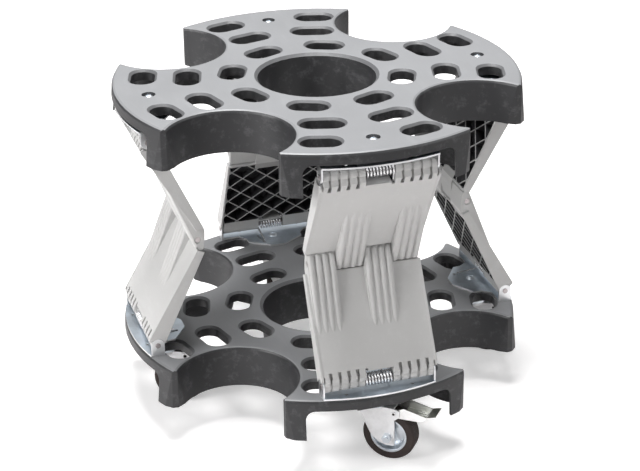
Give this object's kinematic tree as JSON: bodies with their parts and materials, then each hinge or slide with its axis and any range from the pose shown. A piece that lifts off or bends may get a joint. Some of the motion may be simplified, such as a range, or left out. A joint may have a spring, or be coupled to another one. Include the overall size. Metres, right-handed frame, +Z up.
{
  "type": "folding wheel trolley",
  "caption": "Folding round trolley: two clover-shaped plastic decks joined by sprung folding flap legs, on swivel castors.",
  "frame": {"origin": "on the floor, on the trolley's vertical centre line", "axes": "+Z up, the four lobes on -Y (front), +X, +Y and -X"},
  "size_m": [0.6192, 0.6282, 0.4984],
  "materials": {
    "deck_plastic": "fine grained moulding, satin",
    "flap_plastic": "smooth moulding, satin",
    "zinc_steel": "bright zinc plating",
    "pin_steel": "drawn bar",
    "spring_steel": "bright wire",
    "ball_steel": "polished",
    "tyre_rubber": "matt rubber with circumferential grooves"
  },
  "bodies": {
    "lower_deck": {"lower_deck": "deck_plastic", "lower_hinge_pins": "pin_steel", "swivel_balls": "ball_steel", "castor_bolts": "zinc_steel", "lower_bracket_front": "zinc_steel", "castor_head_front": "zinc_steel", "lower_bracket_right": "zinc_steel", "castor_head_right": "zinc_steel", "lower_bracket_back": "zinc_steel", "castor_head_back": "zinc_steel", "lower_bracket_left": "zinc_steel", "castor_head_left": "zinc_steel", "lower_spring_front": "spring_steel", "lower_spring_right": "spring_steel", "lower_spring_back": "spring_steel", "lower_spring_left": "spring_steel"},
    "upper_deck": {"upper_deck": "deck_plastic", "upper_hinge_pins": "pin_steel", "deck_screws": "zinc_steel", "deck_nuts": "zinc_steel", "upper_bracket_front": "zinc_steel", "upper_bracket_right": "zinc_steel", "upper_bracket_back": "zinc_steel", "upper_bracket_left": "zinc_steel", "upper_spring_front": "spring_steel", "upper_spring_right": "spring_steel", "upper_spring_back": "spring_steel", "upper_spring_left": "spring_steel"},
    "lower_leg_front": {"lower_flap_front": "flap_plastic", "knee_pin_front": "pin_steel"},
    "upper_leg_front": {"upper_flap_front": "flap_plastic"},
    "lower_leg_right": {"lower_flap_right": "flap_plastic", "knee_pin_right": "pin_steel"},
    "upper_leg_right": {"upper_flap_right": "flap_plastic"},
    "lower_leg_back": {"lower_flap_back": "flap_plastic", "knee_pin_back": "pin_steel"},
    "upper_leg_back": {"upper_flap_back": "flap_plastic"},
    "lower_leg_left": {"lower_flap_left": "flap_plastic", "knee_pin_left": "pin_steel"},
    "upper_leg_left": {"upper_flap_left": "flap_plastic"},
    "fork_front": {"castor_fork_front": "zinc_steel", "castor_axle_front": "zinc_steel"},
    "wheel_front": {"castor_tyre_front": "tyre_rubber", "castor_rim_front": "zinc_steel"},
    "fork_right": {"castor_fork_right": "zinc_steel", "castor_axle_right": "zinc_steel"},
    "wheel_right": {"castor_tyre_right": "tyre_rubber", "castor_rim_right": "zinc_steel"},
    "fork_back": {"castor_fork_back": "zinc_steel", "castor_axle_back": "zinc_steel"},
    "wheel_back": {"castor_tyre_back": "tyre_rubber", "castor_rim_back": "zinc_steel"},
    "fork_left": {"castor_fork_left": "zinc_steel", "castor_axle_left": "zinc_steel"},
    "wheel_left": {"castor_tyre_left": "tyre_rubber", "castor_rim_left": "zinc_steel"},
    "brake_front": {"brake_pedal_front": "zinc_steel"},
    "brake_back": {"brake_pedal_back": "zinc_steel"}
  },
  "joints": [
    {"name": "fold_front", "type": "hinge", "parent": "lower_deck", "child": "lower_leg_front", "pos_m": [0, -0.2755, 0.1365], "axis": [-1, 0, 0], "range_deg": [0, 55], "stiffness_Nm_per_rad": 20, "springref_deg": -34.38, "deforming": ["lower_spring_front"]},
    {"name": "knee_front", "type": "hinge", "parent": "lower_leg_front", "child": "upper_leg_front", "pos_m": [0, -0.20853, 0.29818], "axis": [1, 0, 0], "range_deg": [0, 110]},
    {"name": "fold_right", "type": "hinge", "parent": "lower_deck", "child": "lower_leg_right", "pos_m": [0.2755, 0, 0.1365], "axis": [0, -1, 0], "range_deg": [0, 55], "deforming": ["lower_spring_right"]},
    {"name": "knee_right", "type": "hinge", "parent": "lower_leg_right", "child": "upper_leg_right", "pos_m": [0.20853, 0, 0.29818], "axis": [0, 1, 0], "range_deg": [0, 110]},
    {"name": "fold_back", "type": "hinge", "parent": "lower_deck", "child": "lower_leg_back", "pos_m": [0, 0.2755, 0.1365], "axis": [1, 0, 0], "range_deg": [0, 55], "deforming": ["lower_spring_back"]},
    {"name": "knee_back", "type": "hinge", "parent": "lower_leg_back", "child": "upper_leg_back", "pos_m": [0, 0.20853, 0.29818], "axis": [-1, 0, 0], "range_deg": [0, 110]},
    {"name": "fold_left", "type": "hinge", "parent": "lower_deck", "child": "lower_leg_left", "pos_m": [-0.2755, 0, 0.1365], "axis": [0, 1, 0], "range_deg": [0, 55], "deforming": ["lower_spring_left"]},
    {"name": "knee_left", "type": "hinge", "parent": "lower_leg_left", "child": "upper_leg_left", "pos_m": [-0.20853, 0, 0.29818], "axis": [0, -1, 0], "range_deg": [0, 110]},
    {"name": "deck_level", "type": "hinge", "parent": "upper_leg_front", "child": "upper_deck", "pos_m": [0, -0.2755, 0.45986], "axis": [-1, 0, 0], "range_deg": [0, 55], "deforming": ["upper_spring_front", "upper_spring_right", "upper_spring_back", "upper_spring_left"]},
    {"name": "swivel_front", "type": "hinge", "parent": "lower_deck", "child": "fork_front", "pos_m": [0, -0.2528, 0.09], "axis": [0, 0, 1], "continuous": true},
    {"name": "roll_front", "type": "hinge", "parent": "fork_front", "child": "wheel_front", "pos_m": [0.0227, -0.27085, 0.04], "axis": [0.6225, 0.7826, 0], "continuous": true},
    {"name": "swivel_right", "type": "hinge", "parent": "lower_deck", "child": "fork_right", "pos_m": [0.2528, 0, 0.09], "axis": [0, 0, 1], "continuous": true},
    {"name": "roll_right", "type": "hinge", "parent": "fork_right", "child": "wheel_right", "pos_m": [0.27841, -0.01362, 0.04], "axis": [0.4695, 0.8829, 0], "continuous": true},
    {"name": "swivel_back", "type": "hinge", "parent": "lower_deck", "child": "fork_back", "pos_m": [0, 0.2528, 0.09], "axis": [0, 0, 1], "continuous": true},
    {"name": "roll_back", "type": "hinge", "parent": "fork_back", "child": "wheel_back", "pos_m": [0.02511, 0.2383, 0.04], "axis": [0.5, 0.866, 0], "continuous": true},
    {"name": "swivel_left", "type": "hinge", "parent": "lower_deck", "child": "fork_left", "pos_m": [-0.2528, 0, 0.09], "axis": [0, 0, 1], "continuous": true},
    {"name": "roll_left", "type": "hinge", "parent": "fork_left", "child": "wheel_left", "pos_m": [-0.22591, -0.01086, 0.04], "axis": [0.3746, 0.9272, 0], "continuous": true},
    {"name": "brake_front", "type": "hinge", "parent": "fork_front", "child": "brake_front", "pos_m": [0.03005, -0.2767, 0.0805], "axis": [0.6225, 0.7826, 0], "range_deg": [0, 8]},
    {"name": "brake_back", "type": "hinge", "parent": "fork_back", "child": "brake_back", "pos_m": [0.03325, 0.2336, 0.0805], "axis": [0.5, 0.866, 0], "range_deg": [0, 8]}
  ],
  "couplings": [
    {"joint": "knee_front", "follows": "fold_front", "ratio": 2},
    {"joint": "fold_right", "follows": "fold_front", "ratio": 1},
    {"joint": "knee_right", "follows": "fold_front", "ratio": 2},
    {"joint": "fold_back", "follows": "fold_front", "ratio": 1},
    {"joint": "knee_back", "follows": "fold_front", "ratio": 2},
    {"joint": "fold_left", "follows": "fold_front", "ratio": 1},
    {"joint": "knee_left", "follows": "fold_front", "ratio": 2},
    {"joint": "deck_level", "follows": "fold_front", "ratio": 1}
  ]
}
